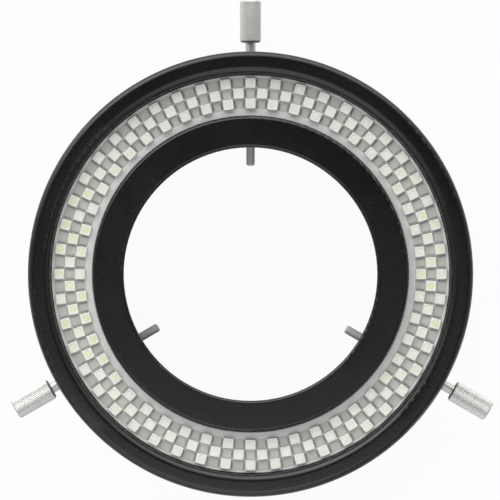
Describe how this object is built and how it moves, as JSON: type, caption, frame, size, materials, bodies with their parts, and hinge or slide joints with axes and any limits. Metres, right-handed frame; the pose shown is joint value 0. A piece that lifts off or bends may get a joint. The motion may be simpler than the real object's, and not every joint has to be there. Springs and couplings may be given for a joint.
{
  "type": "microscope ring light",
  "caption": "Black ring lamp for a microscope objective: rows of white LEDs recessed in its front, clamped over the objective by knurled thumb screws.",
  "frame": {"origin": "on the bore axis, at the back face", "axes": "+Z along the bore axis, the way the light leaves; +Y towards thumb screw 1; the power inlet faces -Y"},
  "size_m": [0.1146, 0.1172, 0.024],
  "materials": {
    "housing_plastic": "fine moulded satin black",
    "board_white": "white solder mask",
    "led_package": "white moulded package",
    "led_window": "pale phosphor in clear resin",
    "resistor_black": "glazed ceramic",
    "screw_steel": "zinc plated",
    "inlet_plastic": "moulded black",
    "inlet_contact": "nickel plated",
    "wire_red": "extruded insulation",
    "wire_black": "extruded insulation",
    "insert_brass": "machined",
    "thumb_screw_nickel": "nickel plated, straight knurl",
    "tip_nylon": "grey nylon"
  },
  "bodies": {
    "lamp": {"lamp_housing": "housing_plastic", "rear_cover": "housing_plastic", "cover_screws": "screw_steel", "led_board": "board_white", "leds_inner_row": "led_package", "leds_middle_row": "led_package", "leds_outer_row": "led_package", "led_lenses": "led_window", "chip_resistors": "resistor_black", "board_standoffs": "screw_steel", "board_screws": "screw_steel", "jack_body": "inlet_plastic", "jack_pin": "inlet_contact", "jack_spring": "inlet_contact", "red_wire": "wire_red", "black_wire": "wire_black", "insert_1": "insert_brass", "insert_2": "insert_brass", "insert_3": "insert_brass"},
    "tip_1": {"tip_1": "tip_nylon"},
    "thumb_screw_1": {"thumb_screw_1": "thumb_screw_nickel"},
    "tip_2": {"tip_2": "tip_nylon"},
    "thumb_screw_2": {"thumb_screw_2": "thumb_screw_nickel"},
    "tip_3": {"tip_3": "tip_nylon"},
    "thumb_screw_3": {"thumb_screw_3": "thumb_screw_nickel"}
  },
  "joints": [
    {"name": "tip_1_slide", "type": "slide", "parent": "lamp", "child": "tip_1", "axis": [0, -1, 0], "range_m": [-0.00517, 0.00248]},
    {"name": "thumb_screw_1_turn", "type": "hinge", "parent": "tip_1", "child": "thumb_screw_1", "pos_m": [0, 0.055, 0.00875], "axis": [0, -1, 0], "range_deg": [-4140, 1980]},
    {"name": "tip_2_slide", "type": "slide", "parent": "lamp", "child": "tip_2", "axis": [0.866, 0.5, 0], "range_m": [-0.00562, 0.00202]},
    {"name": "thumb_screw_2_turn", "type": "hinge", "parent": "tip_2", "child": "thumb_screw_2", "pos_m": [-0.04724, -0.02728, 0.00875], "axis": [0.866, 0.5, 0], "range_deg": [-4500, 1620]},
    {"name": "tip_3_slide", "type": "slide", "parent": "lamp", "child": "tip_3", "axis": [-0.866, 0.5, 0], "range_m": [-0.00473, 0.00293]},
    {"name": "thumb_screw_3_turn", "type": "hinge", "parent": "tip_3", "child": "thumb_screw_3", "pos_m": [0.04802, -0.02772, 0.00875], "axis": [-0.866, 0.5, 0], "range_deg": [-3780, 2340]}
  ],
  "couplings": [
    {"joint": "thumb_screw_1_turn", "follows": "tip_1_slide", "rad_per_m": 13963},
    {"joint": "thumb_screw_2_turn", "follows": "tip_2_slide", "rad_per_m": 13963},
    {"joint": "thumb_screw_3_turn", "follows": "tip_3_slide", "rad_per_m": 13963}
  ]
}
